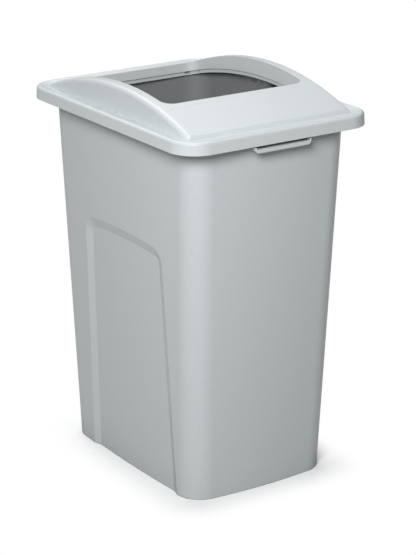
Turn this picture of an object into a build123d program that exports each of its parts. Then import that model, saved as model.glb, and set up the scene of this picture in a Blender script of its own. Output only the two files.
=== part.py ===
from build123d import *
import os
from math import radians, sqrt, tan

# Large indoor waste bin: a tapered tub and a lift-off lid with an arched top and an open throat.
# Millimetres. +Z is up, the front is -Y, and the origin is at the middle of the base.

# Walls and running gaps
tub_wall = 3.0
floor_thickness = 3.5
lid_wall = 3.0
lid_seat_gap = 0.3
lid_side_clearance = 1.5

# Lid outline, measured at the bottom edge of its skirt
lid_length = 587.0
lid_width = 438.0
lid_corner_radius = 57.0
skirt_draft = 3.0

# Tub: plan sizes at the base and at the rim, measured over the middle of each face
base_width = 340.0
base_depth = 471.0
base_corner_radius = 52.0
rim_height = 740.0
rim_width = 380.0
rim_depth = 540.0
rim_corner_radius = 50.0
end_bow = 12.0
side_bow = 8.0
base_edge_chamfer = 3.0

# Raised middle of the tub's floor, so that the tub stands on its outer border
foot_border = 26.0
foot_height = 5.0
foot_slope = 30.0

# Rim flange of the tub, with its down-turned lip
flange_thickness = 3.0
rim_lip_thickness = 3.0
rim_lip_height = 14.0
rim_edge_chamfer = 1.5

# Grips: a low shelf at the middle of each end, which reaches out past the flange
grip_width = 128.0
grip_setback = 0.5
grip_shelf_drop = 23.5
grip_shelf_thickness = 3.0
grip_lip_height = 7.5
grip_cheek = 3.5
grip_corner_radius = 8.0
grip_skirt_gap = 3.0
grip_embed = 36.0

# Recessed panel on each long side
panel_depth = 6.0
panel_ramp = 20.0
panel_top_height = 501.0
panel_front_top = 147.0
panel_front_bottom = 182.0
panel_rear_top = 128.0
panel_rear_bottom = 135.0
panel_corner_radius = 32.0

# Lid rim: skirt, bead and the channel around the arch
skirt_height = 17.0
bead_rise = 4.4
bead_edge_radius = 6.0
bead_crest_inset = 7.0
bead_foot_inset = 25.0

# Arched top of the lid
arch_radius = 688.0
arch_rise = 54.2
arch_foot_width = 379.0
arch_foot_length = 514.0
arch_side_draft = 2.5
arch_end_draft = 30.0
arch_edge_radius = 10.0

# Throat through the arch
throat_width = 324.0
throat_length = 276.0
throat_corner_radius = 23.0
throat_draft = 3.0
throat_depth = 30.5
throat_bottom_radius = 1300.0
throat_edge_chamfer = 2.5
collar_step = 3.0
collar_height = 8.0

# Bare label recess on the front slope of the arch
label_depth = 0.6
label_left = -164.0
label_right = -54.0
label_front = -255.0
label_back = -153.0
label_corner_radius = 8.0

# How far a cutting block runs past the surface that it cuts
cut_margin = 20.0

# Heights and half sizes that follow from the sizes above
lid_plate_underside = rim_height + lid_seat_gap
channel_height = lid_plate_underside + lid_wall
skirt_bottom = lid_plate_underside - skirt_height
bead_height = channel_height + bead_rise
arch_peak = channel_height + arch_rise
arch_centre_height = arch_peak - arch_radius
throat_bottom_peak = arch_peak - throat_depth
skirt_inset_at_plate = skirt_height * tan(radians(skirt_draft))
rim_outer_inset = skirt_inset_at_plate + lid_wall + lid_side_clearance
flange_width = lid_width - 2 * rim_outer_inset
flange_length = lid_length - 2 * rim_outer_inset
flange_corner_radius = lid_corner_radius - rim_outer_inset
grip_plane_offset = lid_length / 2 - grip_setback
grip_reach = grip_plane_offset - flange_length / 2
grip_shelf_top = rim_height - grip_shelf_drop
grip_lip_bottom = grip_shelf_top - grip_lip_height


def tub_outline(width, depth, corner_radius):
    """Draw the tub's plan: four gently bowed sides with rounded corners."""
    corner_x = width / 2 - side_bow
    corner_y = depth / 2 - end_bow
    with BuildSketch() as outline:
        with BuildLine():
            ThreePointArc((-corner_x, -corner_y), (0, -depth / 2), (corner_x, -corner_y))
            ThreePointArc((corner_x, -corner_y), (width / 2, 0), (corner_x, corner_y))
            ThreePointArc((corner_x, corner_y), (0, depth / 2), (-corner_x, corner_y))
            ThreePointArc((-corner_x, corner_y), (-width / 2, 0), (-corner_x, -corner_y))
        make_face()
        fillet(outline.vertices(), corner_radius)
    return outline.sketch


def tub_section(height, inset):
    """Return width, depth and corner radius of the tub at a height, drawn in by inset."""
    share = height / rim_height
    width = base_width + (rim_width - base_width) * share
    depth = base_depth + (rim_depth - base_depth) * share
    corner_radius = base_corner_radius + (rim_corner_radius - base_corner_radius) * share
    return width - 2 * inset, depth - 2 * inset, corner_radius - inset


def lid_outline(inset):
    """Draw the lid's rounded rectangle, drawn in by inset."""
    RectangleRounded(lid_width - 2 * inset, lid_length - 2 * inset, lid_corner_radius - inset)


def panel_outline(grow):
    """Draw the recessed panel's outline, grown outwards by grow, open below the base."""
    top = panel_top_height + grow
    front_slope = (panel_front_bottom - panel_front_top) / panel_top_height
    rear_slope = (panel_rear_bottom - panel_rear_top) / panel_top_height
    front_top = panel_front_top + grow - front_slope * grow
    front_bottom = panel_front_bottom + grow + front_slope * cut_margin
    rear_top = panel_rear_top + grow - rear_slope * grow
    rear_bottom = panel_rear_bottom + grow + rear_slope * cut_margin
    with BuildSketch() as outline:
        with BuildLine():
            Polyline(
                (-front_bottom, -cut_margin),
                (-front_top, top),
                (rear_top, top),
                (rear_bottom, -cut_margin),
                close=True,
            )
        make_face()
        fillet(outline.vertices().group_by(Axis.Y)[-1], panel_corner_radius + grow)
    return outline.sketch


def tub_loft(inset, bottom_height):
    """Return the plain tapered tub as a solid, drawn in by inset, above bottom_height."""
    with BuildPart() as block:
        with BuildSketch(Plane.XY.offset(bottom_height)):
            add(tub_outline(*tub_section(bottom_height, inset)))
        with BuildSketch(Plane.XY.offset(rim_height)):
            add(tub_outline(*tub_section(rim_height, inset)))
        loft()
    return block.part


def panel_cutter(wall_inset):
    """Return one side's recess for a tub drawn in by wall_inset. Its foot follows the side's bow."""
    face_tilt = (rim_width - base_width) / 2 / rim_height
    tilt = Vector(1, 0, -face_tilt).normalized()
    foot = Vector(base_width / 2 - wall_inset, 0, 0)
    wall_plane = Plane(origin=foot, x_dir=(0, 1, 0), z_dir=tilt)
    ramp_slope = panel_ramp / panel_depth
    middle = panel_depth / 2
    reach = panel_depth + side_bow * (2 * panel_front_bottom / base_depth) ** 2
    with BuildPart() as cutter:
        with BuildSketch(wall_plane.offset(-reach)):
            add(panel_outline((middle - reach) * ramp_slope))
        with BuildSketch(wall_plane.offset(panel_depth)):
            add(panel_outline((middle + panel_depth) * ramp_slope))
        loft()
        add(tub_loft(wall_inset + panel_depth, -cut_margin), mode=Mode.SUBTRACT)
    return cutter.part


def arch_block(inset, edge_radius):
    """Return the arched top as a solid, drawn in by inset on every face."""
    base_height = lid_plate_underside - lid_wall
    radius = arch_radius - inset
    section_depth = arch_rise + cut_margin
    foot_width = arch_foot_width - 2 * inset
    section_half = foot_width / 2 - arch_rise * tan(radians(arch_side_draft))
    foot_half = section_half + section_depth * tan(radians(arch_side_draft))
    top = arch_centre_height + radius
    end_foot = arch_foot_length / 2 - inset
    end_height = top + cut_margin - base_height
    end_top = end_foot - end_height * tan(radians(arch_end_draft))
    with BuildPart() as block:
        with BuildSketch(Plane.XZ) as section:
            with BuildLine():
                Polyline(
                    (-foot_half, top - section_depth),
                    (-section_half, top),
                    (section_half, top),
                    (foot_half, top - section_depth),
                    close=True,
                )
            make_face()
            fillet(section.vertices().group_by(Axis.Y)[-1], edge_radius)
        revolve(axis=Axis((0, 0, arch_centre_height), (1, 0, 0)))
        with BuildSketch(Plane.YZ.offset(-lid_width / 2)):
            with BuildLine():
                Polyline(
                    (-end_foot, base_height),
                    (-end_top, base_height + end_height),
                    (end_top, base_height + end_height),
                    (end_foot, base_height),
                    close=True,
                )
            make_face()
        extrude(amount=lid_width, mode=Mode.INTERSECT)
    return block.part


def tub_block(inset, bottom_height):
    """Return the tapered tub as a solid, drawn in by inset, with both side recesses."""
    with BuildPart() as block:
        add(tub_loft(inset, bottom_height))
        add(panel_cutter(inset), mode=Mode.SUBTRACT)
        add(panel_cutter(inset).mirror(Plane.YZ), mode=Mode.SUBTRACT)
    return block.part


def foot_step(top_height):
    """Return the raised middle of the floor as a low frustum with its top at top_height."""
    spread = foot_height * tan(radians(foot_slope))
    width, depth, corner_radius = tub_section(0, foot_border + panel_depth)
    with BuildPart() as step:
        with BuildSketch(Plane.XY.offset(top_height - foot_height)):
            RectangleRounded(width, depth, corner_radius)
        extrude(amount=foot_height, taper=foot_slope)
    return step.part


def grip():
    """Return the low shelf, cheeks and lip of the front grip."""
    lip_plane = Plane.XZ.offset(grip_plane_offset)
    outer_top = skirt_bottom - grip_skirt_gap
    with BuildPart() as shelf:
        with BuildSketch(lip_plane) as face:
            with Locations((0, grip_lip_bottom)):
                Rectangle(grip_width, rim_height - grip_lip_bottom, align=(Align.CENTER, Align.MIN))
            fillet(face.vertices().group_by(Axis.Y)[0], grip_corner_radius)
            with Locations((0, grip_shelf_top)):
                Rectangle(
                    grip_width - 2 * grip_cheek,
                    rim_height,
                    align=(Align.CENTER, Align.MIN),
                    mode=Mode.SUBTRACT,
                )
        extrude(amount=-grip_embed)
        with BuildSketch(lip_plane.offset(-rim_lip_thickness)):
            with Locations((0, grip_lip_bottom)):
                Rectangle(
                    grip_width + cut_margin,
                    grip_lip_height - grip_shelf_thickness,
                    align=(Align.CENTER, Align.MIN),
                )
        extrude(amount=-grip_embed, mode=Mode.SUBTRACT)
        with BuildSketch(lip_plane):
            with Locations((0, outer_top)):
                Rectangle(
                    grip_width + cut_margin,
                    rim_height - outer_top + cut_margin,
                    align=(Align.CENTER, Align.MIN),
                )
        extrude(amount=-grip_reach, mode=Mode.SUBTRACT)
    return shelf.part


tub_solid = tub_block(0, 0)
tub_cavity = tub_block(tub_wall, floor_thickness)
front_grip = grip()
pocket_width = grip_width - 2 * grip_cheek
pocket_height = rim_height - grip_shelf_top

with BuildPart() as body:
    with BuildSketch(Plane.XY.offset(rim_height - rim_lip_height)):
        RectangleRounded(flange_width, flange_length, flange_corner_radius)
    extrude(amount=rim_lip_height)
    chamfer(body.faces().sort_by(Axis.Z)[-1].edges(), rim_edge_chamfer)
    with BuildSketch(Plane.XY.offset(rim_height - rim_lip_height)):
        RectangleRounded(
            flange_width - 2 * rim_lip_thickness,
            flange_length - 2 * rim_lip_thickness,
            flange_corner_radius - rim_lip_thickness,
        )
    extrude(amount=rim_lip_height - flange_thickness, mode=Mode.SUBTRACT)
    with BuildSketch(Plane.XY.offset(grip_shelf_top)):
        with Locations((0, -flange_length / 2), (0, flange_length / 2)):
            Rectangle(pocket_width, 2 * (grip_embed - rim_lip_thickness))
    extrude(amount=pocket_height + cut_margin, mode=Mode.SUBTRACT)
    add(front_grip)
    add(front_grip.mirror(Plane.XZ))
    add(tub_solid)
    add(tub_cavity, mode=Mode.SUBTRACT)
    add(foot_step(floor_thickness + foot_height))
    add(foot_step(foot_height), mode=Mode.SUBTRACT)
body.part.label = "body"


def under_arc(peak_height, arc_radius):
    """Return the side view of everything below an arc that peaks at peak_height."""
    half_length = lid_length / 2
    arc_end = peak_height - arc_radius + sqrt(arc_radius**2 - half_length**2)
    with BuildSketch() as outline:
        with BuildLine():
            ThreePointArc((-half_length, arc_end), (0, peak_height), (half_length, arc_end))
            Polyline(
                (half_length, arc_end),
                (half_length, 0),
                (-half_length, 0),
                (-half_length, arc_end),
            )
        make_face()
    return outline.sketch


def throat_plug(grow, bottom_lift):
    """Return the drafted plug that fills the throat, grown outwards, above its lower edge."""
    with BuildPart() as plug:
        with BuildSketch(Plane.XY.offset(arch_peak)):
            RectangleRounded(
                throat_width + 2 * grow, throat_length + 2 * grow, throat_corner_radius + grow
            )
        extrude(amount=skirt_bottom - arch_peak, taper=throat_draft)
        with BuildSketch(Plane.YZ.offset(-lid_width / 2)):
            add(under_arc(throat_bottom_peak + bottom_lift, throat_bottom_radius))
        extrude(amount=lid_width, mode=Mode.SUBTRACT)
    return plug.part


def label_cutter():
    """Return the shallow block that sinks the label recess into the arch."""
    with BuildPart() as cutter:
        with BuildSketch(Plane.XY.offset(channel_height)):
            with Locations(((label_left + label_right) / 2, (label_front + label_back) / 2)):
                RectangleRounded(
                    label_right - label_left, label_back - label_front, label_corner_radius
                )
        extrude(amount=arch_rise)
        with BuildSketch(Plane.YZ.offset(-lid_width / 2)):
            add(under_arc(arch_peak - label_depth, arch_radius - label_depth))
        extrude(amount=lid_width, mode=Mode.SUBTRACT)
    return cutter.part


arch_outer = arch_block(0, arch_edge_radius)
arch_hollow = arch_block(lid_wall, arch_edge_radius - lid_wall)
collar_wall = throat_plug(lid_wall, 0).intersect(arch_outer)
collar_passage = throat_plug(0, -collar_height - cut_margin)
step_block = throat_plug(lid_wall + collar_step, -collar_height) - throat_plug(
    lid_wall + collar_step + cut_margin, lid_wall
)
step_passage = throat_plug(collar_step, -collar_height - cut_margin) - throat_plug(
    collar_step + cut_margin, 0
)

with BuildPart() as lid:
    with BuildSketch(Plane.XY.offset(skirt_bottom)):
        lid_outline(0)
    extrude(amount=bead_height - skirt_bottom, taper=skirt_draft)
    fillet(lid.faces().sort_by(Axis.Z)[-1].edges(), bead_edge_radius)
    with BuildSketch(Plane.XY.offset(channel_height)):
        lid_outline(bead_foot_inset)
    with BuildSketch(Plane.XY.offset(bead_height)):
        lid_outline(bead_crest_inset)
    loft(mode=Mode.SUBTRACT)
    add(arch_outer)
    with BuildSketch(Plane.XY.offset(skirt_bottom)):
        lid_outline(lid_wall)
    extrude(amount=skirt_height, taper=skirt_draft, mode=Mode.SUBTRACT)
    add(arch_hollow, mode=Mode.SUBTRACT)
    add(collar_wall)
    add(step_block)
    add(collar_passage, mode=Mode.SUBTRACT)
    add(step_passage, mode=Mode.SUBTRACT)
    crest = lid.faces().sort_by(Axis.Z)[-1]
    chamfer(crest.inner_wires()[0].edges(), throat_edge_chamfer)
    add(label_cutter(), mode=Mode.SUBTRACT)
lid.part.label = "lid"

os.makedirs("parts", exist_ok=True)
for piece in (body, lid):
    export_step(piece.part, f"parts/{piece.part.label}.step")
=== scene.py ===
"""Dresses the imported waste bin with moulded-plastic finishes and lights it in a plain studio."""

import logging
import math
from dataclasses import dataclass, field
from enum import Enum

import bmesh
import bpy
from mathutils import Matrix, Vector


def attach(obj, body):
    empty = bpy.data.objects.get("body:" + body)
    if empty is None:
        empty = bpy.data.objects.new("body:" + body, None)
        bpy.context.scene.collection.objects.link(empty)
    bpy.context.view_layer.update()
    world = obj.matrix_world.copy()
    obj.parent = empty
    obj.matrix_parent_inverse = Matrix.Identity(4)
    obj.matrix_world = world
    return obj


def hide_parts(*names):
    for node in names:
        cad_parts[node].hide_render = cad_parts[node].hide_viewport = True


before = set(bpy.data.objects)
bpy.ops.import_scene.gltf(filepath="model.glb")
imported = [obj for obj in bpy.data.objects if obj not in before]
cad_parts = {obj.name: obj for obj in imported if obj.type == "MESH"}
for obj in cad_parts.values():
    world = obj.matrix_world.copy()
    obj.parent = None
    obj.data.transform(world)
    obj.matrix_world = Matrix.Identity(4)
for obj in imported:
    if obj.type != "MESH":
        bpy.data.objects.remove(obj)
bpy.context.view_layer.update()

log = logging.getLogger("waste_bin")

Colour = tuple[float, float, float]


class Body(Enum):
    """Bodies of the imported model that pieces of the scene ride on."""

    COVER = "cover"


def socket_value(node: bpy.types.Node, name: str, value: object) -> None:
    """Set one input of a node.

    Args:
        node: The shader node.
        name: The input's name.
        value: The value to write as its default.
    """
    node.inputs[name].default_value = value


def operation_node(
    nodes: bpy.types.Nodes, operation: str, kind: str = "ShaderNodeMath"
) -> bpy.types.Node:
    """Make a number node or a vector node.

    Args:
        nodes: The nodes of the tree that it joins.
        operation: What it works out.
        kind: ShaderNodeMath or ShaderNodeVectorMath.

    Returns:
        The node.
    """
    node = nodes.new(kind)
    node.operation = operation
    return node


def colour_mix(nodes: bpy.types.Nodes) -> bpy.types.Node:
    """Make a node that mixes two colours: inputs 6 and 7, by input 0, to output 2.

    Args:
        nodes: The nodes of the tree that it joins.

    Returns:
        The node.
    """
    node = nodes.new("ShaderNodeMix")
    node.data_type = "RGBA"
    return node


def direction(azimuth: float, elevation: float) -> Vector:
    """Give the unit vector from the bin towards a camera or a lamp.

    Args:
        azimuth: Turn about the vertical from the front, in degrees.
        elevation: Height above the level, in degrees.

    Returns:
        The vector.
    """
    turn, lift = math.radians(azimuth), math.radians(elevation)
    return Vector(
        (math.sin(turn) * math.cos(lift), -math.cos(turn) * math.cos(lift), math.sin(lift))
    )


def group_with_sockets(
    name: str, inputs: dict[str, float], outputs: list[str]
) -> tuple[bpy.types.NodeTree, bpy.types.Node, bpy.types.Node]:
    """Make an empty shader group with number inputs and outputs.

    Args:
        name: The group's name.
        inputs: Names of the number inputs with their defaults.
        outputs: Names of the number outputs.

    Returns:
        The group, its input node and its output node.
    """
    tree = bpy.data.node_groups.new(name, "ShaderNodeTree")
    for label, value in inputs.items():
        socket = tree.interface.new_socket(label, in_out="INPUT", socket_type="NodeSocketFloat")
        socket.default_value = value
    for label in outputs:
        tree.interface.new_socket(label, in_out="OUTPUT", socket_type="NodeSocketFloat")
    return tree, tree.nodes.new("NodeGroupInput"), tree.nodes.new("NodeGroupOutput")


def place_shape(name: str, shape: bmesh.types.BMesh) -> bpy.types.Object:
    """Put a finished bmesh into the scene.

    Args:
        name: The object's name.
        shape: The bmesh, which is freed.

    Returns:
        The object, at the origin.
    """
    mesh = bpy.data.meshes.new(name)
    shape.to_mesh(mesh)
    shape.free()
    piece = bpy.data.objects.new(name, mesh)
    bpy.context.scene.collection.objects.link(piece)
    return piece


class MouldGrain:
    """Fine pebbled grain that a spark-etched mould leaves on polyethylene."""

    fine_detail = 2.0
    coarse_detail = 3.0
    fine_share = 0.7

    def __init__(self) -> None:
        """Build the group once."""
        self.tree, entry, result = group_with_sockets(
            "mould_grain", {"Fine Scale": 900.0, "Coarse Scale": 160.0}, ["Height", "Mottle"]
        )
        nodes, links = self.tree.nodes, self.tree.links
        place = nodes.new("ShaderNodeTexCoord")
        fine = nodes.new("ShaderNodeTexNoise")
        coarse = nodes.new("ShaderNodeTexNoise")
        socket_value(fine, "Detail", self.fine_detail)
        socket_value(coarse, "Detail", self.coarse_detail)
        for texture, scale in ((fine, "Fine Scale"), (coarse, "Coarse Scale")):
            links.new(place.outputs["Object"], texture.inputs["Vector"])
            links.new(entry.outputs[scale], texture.inputs["Scale"])
        blend = operation_node(nodes, "MULTIPLY_ADD")
        blend.inputs[1].default_value = self.fine_share
        links.new(fine.outputs["Fac"], blend.inputs[0])
        links.new(coarse.outputs["Fac"], blend.inputs[2])
        links.new(blend.outputs[0], result.inputs["Height"])
        links.new(coarse.outputs["Fac"], result.inputs["Mottle"])


class EdgeWear:
    """Mask of the rubbed edges: convex corners that catch knocks and cloths."""

    flat_pointiness = 0.5
    sharp_pointiness = 0.62
    breakup_detail = 4.0

    def __init__(self) -> None:
        """Build the group once."""
        self.tree, entry, result = group_with_sockets(
            "edge_wear", {"Reach": 0.5, "Breakup Scale": 45.0}, ["Mask"]
        )
        nodes, links = self.tree.nodes, self.tree.links
        place = nodes.new("ShaderNodeTexCoord")
        shape = nodes.new("ShaderNodeNewGeometry")
        ramp = nodes.new("ShaderNodeMapRange")
        socket_value(ramp, "From Min", self.flat_pointiness)
        socket_value(ramp, "From Max", self.sharp_pointiness)
        breakup = nodes.new("ShaderNodeTexNoise")
        socket_value(breakup, "Detail", self.breakup_detail)
        product = operation_node(nodes, "MULTIPLY")
        share = operation_node(nodes, "MULTIPLY")
        links.new(shape.outputs["Pointiness"], ramp.inputs["Value"])
        links.new(place.outputs["Object"], breakup.inputs["Vector"])
        links.new(entry.outputs["Breakup Scale"], breakup.inputs["Scale"])
        links.new(ramp.outputs["Result"], product.inputs[0])
        links.new(breakup.outputs["Fac"], product.inputs[1])
        links.new(product.outputs[0], share.inputs[0])
        links.new(entry.outputs["Reach"], share.inputs[1])
        links.new(share.outputs[0], result.inputs["Mask"])


class InsideShadeMask:
    """Mask of the faces that look in at the bin's own middle, and of its floor, where the inside
    is given painted shade.
    """

    level_and_inward = (-1.0, -1.0, 0.0)

    def __init__(self) -> None:
        """Build the group once."""
        self.tree, entry, result = group_with_sockets(
            "inside_shade_mask", {"Start": 0.02, "Full": 0.08, "Floor Height": 0.05}, ["Mask"]
        )
        nodes, links = self.tree.nodes, self.tree.links
        place = nodes.new("ShaderNodeTexCoord")
        level = operation_node(nodes, "MULTIPLY", "ShaderNodeVectorMath")
        level.inputs[1].default_value = self.level_and_inward
        inward = operation_node(nodes, "DOT_PRODUCT", "ShaderNodeVectorMath")
        ramp = nodes.new("ShaderNodeMapRange")
        spot, facing = nodes.new("ShaderNodeSeparateXYZ"), nodes.new("ShaderNodeSeparateXYZ")
        low = operation_node(nodes, "LESS_THAN")
        floor = operation_node(nodes, "MULTIPLY")
        floor.use_clamp = True
        either = operation_node(nodes, "MAXIMUM")
        links.new(place.outputs["Object"], level.inputs[0])
        links.new(level.outputs["Vector"], inward.inputs[0])
        links.new(place.outputs["Normal"], inward.inputs[1])
        links.new(inward.outputs["Value"], ramp.inputs["Value"])
        links.new(entry.outputs["Start"], ramp.inputs["From Min"])
        links.new(entry.outputs["Full"], ramp.inputs["From Max"])
        links.new(place.outputs["Object"], spot.inputs[0])
        links.new(place.outputs["Normal"], facing.inputs[0])
        links.new(spot.outputs["Z"], low.inputs[0])
        links.new(entry.outputs["Floor Height"], low.inputs[1])
        links.new(facing.outputs["Z"], floor.inputs[0])
        links.new(low.outputs[0], floor.inputs[1])
        links.new(ramp.outputs["Result"], either.inputs[0])
        links.new(floor.outputs[0], either.inputs[1])
        links.new(either.outputs[0], result.inputs["Mask"])


@dataclass(frozen=True)
class MouldedPlastic:
    """Coloured polyethylene with a moulded grain, faint flow mottle and rubbed edges.

    The inward faces of a piece can be darkened with painted shade.
    """

    name: str
    colour: Colour
    rubbed_colour: Colour
    roughness: float = 0.42
    roughness_spread: float = 0.10
    grain_height: float = 0.00012
    grain_strength: float = 0.22
    mottle_share: float = 0.035
    wear_reach: float = 0.5
    edge_softness: float = 0.0025
    edge_samples: int = 8
    refraction: float = 1.5
    specular_level: float = 0.42
    inside_shade_colour: Colour | None = None

    def material(
        self, grain: MouldGrain, wear: EdgeWear, inside: InsideShadeMask
    ) -> bpy.types.Material:
        """Build the finish.

        Args:
            grain: The shared grain group.
            wear: The shared edge wear group.
            inside: The shared mask of inward faces, used where there is a painted inside shade.

        Returns:
            The finished material.
        """
        finish = bpy.data.materials.new(self.name)
        finish.use_nodes = True
        nodes, links = finish.node_tree.nodes, finish.node_tree.links
        nodes.clear()
        surface = nodes.new("ShaderNodeBsdfPrincipled")
        output = nodes.new("ShaderNodeOutputMaterial")
        links.new(surface.outputs["BSDF"], output.inputs["Surface"])
        socket_value(surface, "IOR", self.refraction)
        socket_value(surface, "Specular IOR Level", self.specular_level)

        grain_node = nodes.new("ShaderNodeGroup")
        grain_node.node_tree = grain.tree
        wear_node = nodes.new("ShaderNodeGroup")
        wear_node.node_tree = wear.tree
        socket_value(wear_node, "Reach", self.wear_reach)

        mottle = colour_mix(nodes)
        darker = tuple(channel * (1.0 - 2.0 * self.mottle_share) for channel in self.colour)
        mottle.inputs[6].default_value = (*darker, 1.0)
        mottle.inputs[7].default_value = (*self.colour, 1.0)
        links.new(grain_node.outputs["Mottle"], mottle.inputs[0])
        rubbed = colour_mix(nodes)
        rubbed.inputs[7].default_value = (*self.rubbed_colour, 1.0)
        links.new(wear_node.outputs["Mask"], rubbed.inputs[0])
        links.new(mottle.outputs[2], rubbed.inputs[6])
        links.new(rubbed.outputs[2], surface.inputs["Base Color"])
        # Painted shade: the inward faces and floor of the piece are mixed towards a dark colour.
        if self.inside_shade_colour is not None:
            inside_node = nodes.new("ShaderNodeGroup")
            inside_node.node_tree = inside.tree
            shaded = colour_mix(nodes)
            shaded.inputs[7].default_value = (*self.inside_shade_colour, 1.0)
            links.new(inside_node.outputs["Mask"], shaded.inputs[0])
            links.new(rubbed.outputs[2], shaded.inputs[6])
            links.new(shaded.outputs[2], surface.inputs["Base Color"])

        gloss = nodes.new("ShaderNodeMapRange")
        socket_value(gloss, "To Min", self.roughness - self.roughness_spread)
        socket_value(gloss, "To Max", self.roughness + self.roughness_spread)
        links.new(grain_node.outputs["Mottle"], gloss.inputs["Value"])
        links.new(gloss.outputs["Result"], surface.inputs["Roughness"])

        soft_edge = nodes.new("ShaderNodeBevel")
        soft_edge.samples = self.edge_samples
        socket_value(soft_edge, "Radius", self.edge_softness)
        bump = nodes.new("ShaderNodeBump")
        links.new(soft_edge.outputs["Normal"], bump.inputs["Normal"])
        socket_value(bump, "Strength", self.grain_strength)
        socket_value(bump, "Distance", self.grain_height)
        links.new(grain_node.outputs["Height"], bump.inputs["Height"])
        links.new(bump.outputs["Normal"], surface.inputs["Normal"])
        return finish


@dataclass
class StudioCamera:
    """Camera at the photograph's angle."""

    azimuth: float = -34.06
    elevation: float = 19.12
    distance: float = 4.1119
    look_height: float = 0.3616
    shift_right: float = 0.0227
    shift_up: float = 0.0101
    lens: float = 131.41
    sensor: float = 36.0

    def build(self) -> bpy.types.Object:
        """Place the camera and make it the scene's.

        Returns:
            The camera.
        """
        turn = math.radians(self.azimuth)
        back = direction(self.azimuth, self.elevation)
        right = Vector((math.cos(turn), math.sin(turn), 0.0))
        upward = back.cross(right)
        target = Vector((0.0, 0.0, self.look_height)) + right * self.shift_right
        target += upward * self.shift_up
        data = bpy.data.cameras.new("studio_camera")
        data.lens = self.lens
        data.sensor_width = self.sensor
        data.sensor_fit = "AUTO"
        data.clip_end = 100.0
        camera = bpy.data.objects.new("studio_camera", data)
        camera.location = target + back * self.distance
        camera.rotation_euler = back.to_track_quat("Z", "Y").to_euler()
        bpy.context.scene.collection.objects.link(camera)
        bpy.context.scene.camera = camera
        return camera


@dataclass
class SoftBox:
    """One large soft lamp that points at the middle of the bin."""

    name: str
    azimuth: float
    elevation: float
    distance: float
    size: float
    power: float
    aim_height: float = 0.4

    def build(self) -> bpy.types.Object:
        """Place the lamp.

        Returns:
            The lamp.
        """
        away = direction(self.azimuth, self.elevation)
        data = bpy.data.lights.new(self.name, "AREA")
        data.shape = "DISK"
        data.size = self.size
        data.energy = self.power
        lamp = bpy.data.objects.new(self.name, data)
        lamp.location = Vector((0.0, 0.0, self.aim_height)) + away * self.distance
        lamp.rotation_euler = away.to_track_quat("Z", "Y").to_euler()
        bpy.context.scene.collection.objects.link(lamp)
        return lamp


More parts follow.
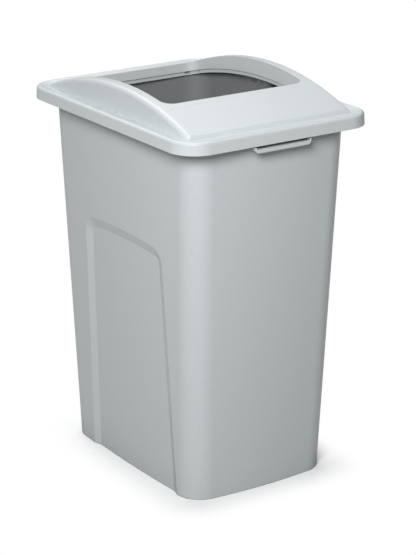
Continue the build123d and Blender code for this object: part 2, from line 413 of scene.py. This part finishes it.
@dataclass
class Studio:
    """Floor that fades to white round the bin, white surroundings and soft lamps."""

    floor_size: float = 30.0
    floor_colour: Colour = (0.90, 0.90, 0.90)
    bounce_colour: Colour = (0.30, 0.30, 0.30)
    base_half: tuple[float, float, float] = (0.150, 0.215, 0.0)
    fade_end: float = 0.10
    surround_light: float = 0.20
    surround_colour: Colour = (0.97, 0.99, 1.0)
    lamps: list[SoftBox] = field(
        default_factory=lambda: [
            SoftBox("key_softbox", -43.0, 33.0, 3.2, 1.2, 91.0),
            SoftBox("top_softbox", 165.0, 62.0, 3.0, 2.2, 54.0),
        ]
    )

    def floor_material(self) -> bpy.types.Material:
        """Build the floor's paint: matt at the foot of the bin, plain white to the eye beyond.

        Returns:
            The floor's material.
        """
        finish = bpy.data.materials.new("floor_paint")
        finish.use_nodes = True
        nodes, links = finish.node_tree.nodes, finish.node_tree.links
        nodes.clear()
        output = nodes.new("ShaderNodeOutputMaterial")
        paint = nodes.new("ShaderNodeBsdfDiffuse")
        tone = colour_mix(nodes)
        tone.inputs[6].default_value = (*self.bounce_colour, 1.0)
        tone.inputs[7].default_value = (*self.floor_colour, 1.0)
        white = nodes.new("ShaderNodeEmission")
        socket_value(white, "Strength", 1.0)
        place = nodes.new("ShaderNodeTexCoord")
        mirrored = operation_node(nodes, "ABSOLUTE", "ShaderNodeVectorMath")
        beyond = operation_node(nodes, "SUBTRACT", "ShaderNodeVectorMath")
        beyond.inputs[1].default_value = self.base_half
        outside = operation_node(nodes, "MAXIMUM", "ShaderNodeVectorMath")
        reach = operation_node(nodes, "LENGTH", "ShaderNodeVectorMath")
        fade = nodes.new("ShaderNodeMapRange")
        fade.interpolation_type = "SMOOTHSTEP"
        socket_value(fade, "From Max", self.fade_end)
        path = nodes.new("ShaderNodeLightPath")
        seen = operation_node(nodes, "MAXIMUM")
        share = operation_node(nodes, "MULTIPLY")
        blend = nodes.new("ShaderNodeMixShader")
        links.new(place.outputs["Object"], mirrored.inputs[0])
        links.new(mirrored.outputs["Vector"], beyond.inputs[0])
        links.new(beyond.outputs["Vector"], outside.inputs[0])
        links.new(outside.outputs["Vector"], reach.inputs[0])
        links.new(path.outputs["Is Camera Ray"], tone.inputs[0])
        links.new(tone.outputs[2], paint.inputs["Color"])
        links.new(reach.outputs["Value"], fade.inputs["Value"])
        links.new(path.outputs["Is Camera Ray"], seen.inputs[0])
        links.new(path.outputs["Is Glossy Ray"], seen.inputs[1])
        links.new(seen.outputs[0], share.inputs[0])
        links.new(fade.outputs["Result"], share.inputs[1])
        links.new(share.outputs[0], blend.inputs["Fac"])
        links.new(paint.outputs["BSDF"], blend.inputs[1])
        links.new(white.outputs["Emission"], blend.inputs[2])
        links.new(blend.outputs["Shader"], output.inputs["Surface"])
        return finish

    def build_floor(self) -> bpy.types.Object:
        """Make the floor.

        Returns:
            The floor.
        """
        shape = bmesh.new()
        bmesh.ops.create_grid(shape, x_segments=1, y_segments=1, size=self.floor_size / 2)
        floor = place_shape("studio_floor", shape)
        floor.data.materials.append(self.floor_material())
        return floor

    def build_world(self) -> None:
        """Light softly from all round and show white behind the bin."""
        world = bpy.data.worlds.new("studio_surround")
        bpy.context.scene.world = world
        world.use_nodes = True
        nodes, links = world.node_tree.nodes, world.node_tree.links
        nodes.clear()
        output = nodes.new("ShaderNodeOutputWorld")
        backdrop = nodes.new("ShaderNodeBackground")
        surround = nodes.new("ShaderNodeBackground")
        socket_value(backdrop, "Strength", 1.0)
        socket_value(backdrop, "Color", (1.0, 1.0, 1.0, 1.0))
        socket_value(surround, "Strength", self.surround_light)
        socket_value(surround, "Color", (*self.surround_colour, 1.0))
        path = nodes.new("ShaderNodeLightPath")
        choose = nodes.new("ShaderNodeMixShader")
        links.new(path.outputs["Is Camera Ray"], choose.inputs["Fac"])
        links.new(surround.outputs["Background"], choose.inputs[1])
        links.new(backdrop.outputs["Background"], choose.inputs[2])
        links.new(choose.outputs["Shader"], output.inputs["Surface"])

    def build(self) -> None:
        """Make the whole studio."""
        self.build_world()
        self.build_floor()
        for lamp in self.lamps:
            lamp.build()


class Cut(Enum):
    """Ways to combine two closed shapes."""

    JOIN = "UNION"
    TAKE_AWAY = "DIFFERENCE"
    KEEP_COMMON = "INTERSECT"


def combine(base: bpy.types.Object, tool: bpy.types.Object, way: Cut) -> None:
    """Combine a closed shape with another one, and delete that one.

    Args:
        base: The shape that is changed.
        tool: The shape that is used up.
        way: How the two are combined.
    """
    step = base.modifiers.new(way.name.lower(), "BOOLEAN")
    step.operation = way.value
    step.solver = "EXACT"
    step.object = tool
    bpy.context.view_layer.update()
    result = bpy.data.meshes.new_from_object(
        base.evaluated_get(bpy.context.evaluated_depsgraph_get())
    )
    base.modifiers.clear()
    base.data = result
    bpy.data.objects.remove(tool)


def keep_largest_part(piece: bpy.types.Object) -> None:
    """Delete the loose slivers that cutting leaves beside a shape.

    Args:
        piece: The shape that is cleaned.
    """
    shape = bmesh.new()
    shape.from_mesh(piece.data)
    waiting, parts = set(shape.verts), []
    while waiting:
        part, to_visit = set(), [waiting.pop()]
        while to_visit:
            corner = to_visit.pop()
            part.add(corner)
            near = {edge.other_vert(corner) for edge in corner.link_edges} & waiting
            waiting -= near
            to_visit.extend(near)
        parts.append(part)
    parts.sort(key=len)
    for part in parts[:-1]:
        heights = [round(corner.co.z, 4) for corner in part]
        log.info("sliver of %d corners at z %s to %s", len(part), min(heights), max(heights))
        bmesh.ops.delete(shape, geom=list(part), context="VERTS")
    shape.to_mesh(piece.data)
    shape.free()


@dataclass
class ThroatedLid:
    """The lid with its throat run on to the rear bead, as the photograph shows it."""

    node: str = "lid"
    arch_peak: float = 0.7975
    arch_radius: float = 0.688
    skin: float = 0.0002
    half_width: float = 0.162
    front: float = -0.138
    rear: float = 0.2525
    corner_radius: float = 0.023
    draft: float = 3.0
    wall: float = 0.003
    step: float = 0.003
    collar_height: float = 0.008
    edge_peak: float = 0.767
    edge_radius: float = 0.900
    plug_bottom: float = 0.700
    plug_rise: float = 0.010
    corner_segments: int = 10
    drum_segments: int = 360
    drum_length: float = 0.6
    merge_distance: float = 1e-6
    sharp_angle: float = 32.0
    flat_face_weight: int = 100

    def drum(self, peak: float, radius: float) -> bpy.types.Object:
        """Make the drum that lies across the lid and whose top is an arched surface.

        Args:
            peak: Height of its top.
            radius: Its radius.

        Returns:
            The drum.
        """
        shape = bmesh.new()
        turn = Matrix.Rotation(math.radians(90.0), 4, "Y")
        bmesh.ops.create_cone(
            shape,
            cap_ends=True,
            segments=self.drum_segments,
            radius1=radius,
            radius2=radius,
            depth=self.drum_length,
            matrix=Matrix.Translation((0.0, 0.0, peak - radius)) @ turn,
        )
        return place_shape("drum", shape)

    def plug(self, grow: float) -> bpy.types.Object:
        """Make the drafted plug that fills the throat.

        Args:
            grow: How far it is grown outwards.

        Returns:
            The plug, from below the lid to above the arch.
        """
        shape = bmesh.new()
        top = self.arch_peak + self.plug_rise
        middle, half_length = (self.front + self.rear) / 2, (self.rear - self.front) / 2
        bmesh.ops.create_cube(shape, size=2.0)
        for corner in shape.verts:
            height = top if corner.co.z > 0 else self.plug_bottom
            reach = grow + (height - self.arch_peak) * math.tan(math.radians(self.draft))
            corner.co.x *= self.half_width + reach
            corner.co.y = middle + corner.co.y * (half_length + reach)
            corner.co.z = height
        upright = [edge for edge in shape.edges if edge.verts[0].co.z != edge.verts[1].co.z]
        bmesh.ops.bevel(
            shape,
            geom=upright,
            offset=self.corner_radius + grow,
            affect="EDGES",
            segments=self.corner_segments,
            profile=0.5,
            material=-1,
        )
        return place_shape("plug", shape)

    def add_collar(self, lid: bpy.types.Object) -> None:
        """Add the wall round the whole throat, and the stepped band below its edge.

        Args:
            lid: The lid that is changed.
        """
        collar = self.plug(self.wall + 2 * self.skin)
        combine(collar, self.drum(self.arch_peak - self.skin, self.arch_radius), Cut.KEEP_COMMON)
        combine(collar, self.drum(self.edge_peak, self.edge_radius), Cut.TAKE_AWAY)
        combine(lid, collar, Cut.JOIN)
        band = self.plug(self.wall + self.step + 2 * self.skin)
        band_top, band_bottom = self.edge_peak + self.skin, self.edge_peak - self.collar_height
        combine(band, self.drum(band_top, self.edge_radius), Cut.KEEP_COMMON)
        combine(band, self.drum(band_bottom, self.edge_radius), Cut.TAKE_AWAY)
        combine(lid, band, Cut.JOIN)

    def open_throat(self, lid: bpy.types.Object) -> None:
        """Cut the throat, and the wider passage inside the stepped band.

        Args:
            lid: The lid that is changed.
        """
        combine(lid, self.plug(self.skin), Cut.TAKE_AWAY)
        passage = self.plug(self.step + self.skin)
        combine(passage, self.drum(self.edge_peak, self.edge_radius), Cut.KEEP_COMMON)
        combine(lid, passage, Cut.TAKE_AWAY)

    def build(self) -> bpy.types.Object:
        """Make the lid, put it on its body and let it stand for the CAD node.

        Returns:
            The lid.
        """
        shape = bmesh.new()
        shape.from_mesh(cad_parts[self.node].data)
        bmesh.ops.remove_doubles(shape, verts=shape.verts, dist=self.merge_distance)
        lid = place_shape("lid_moulding", shape)

        self.add_collar(lid)
        self.open_throat(lid)
        keep_largest_part(lid)

        lid.data.shade_smooth()
        lid.data.set_sharp_from_angle(angle=math.radians(self.sharp_angle))
        shading = lid.modifiers.new("even_shading", "WEIGHTED_NORMAL")
        shading.keep_sharp = True
        shading.weight = self.flat_face_weight
        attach(lid, Body.COVER.value)
        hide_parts(self.node)
        log.info("lid_moulding has %d faces", len(lid.data.polygons))
        return lid


def dress(piece: bpy.types.Object, finish: bpy.types.Material) -> None:
    """Give a piece its finish.

    Args:
        piece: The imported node, or the piece that stands for one.
        finish: Its only material.
    """
    piece.data.materials.clear()
    piece.data.materials.append(finish)
    log.info("dressed %s with %s", piece.name, finish.name)


def main() -> None:
    """Build the studio and dress the bin."""
    logging.basicConfig(level=logging.INFO, format="%(name)s: %(message)s")
    scene = bpy.context.scene
    scene.view_settings.view_transform = "Standard"
    StudioCamera().build()
    Studio().build()
    grain, wear, inside = MouldGrain(), EdgeWear(), InsideShadeMask()
    tub_finish = MouldedPlastic(
        "tub_plastic",
        (0.555, 0.590, 0.600),
        (0.62, 0.65, 0.66),
        # painted shade: the tub's inward faces and floor are darkened
        inside_shade_colour=(0.200, 0.207, 0.212),
    )
    lid_finish = MouldedPlastic(
        "lid_plastic", (0.575, 0.610, 0.620), (0.64, 0.67, 0.68), edge_softness=0.0004
    )
    dress(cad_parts["body"], tub_finish.material(grain, wear, inside))
    dress(ThroatedLid().build(), lid_finish.material(grain, wear, inside))


if __name__ == "__main__":
    main()
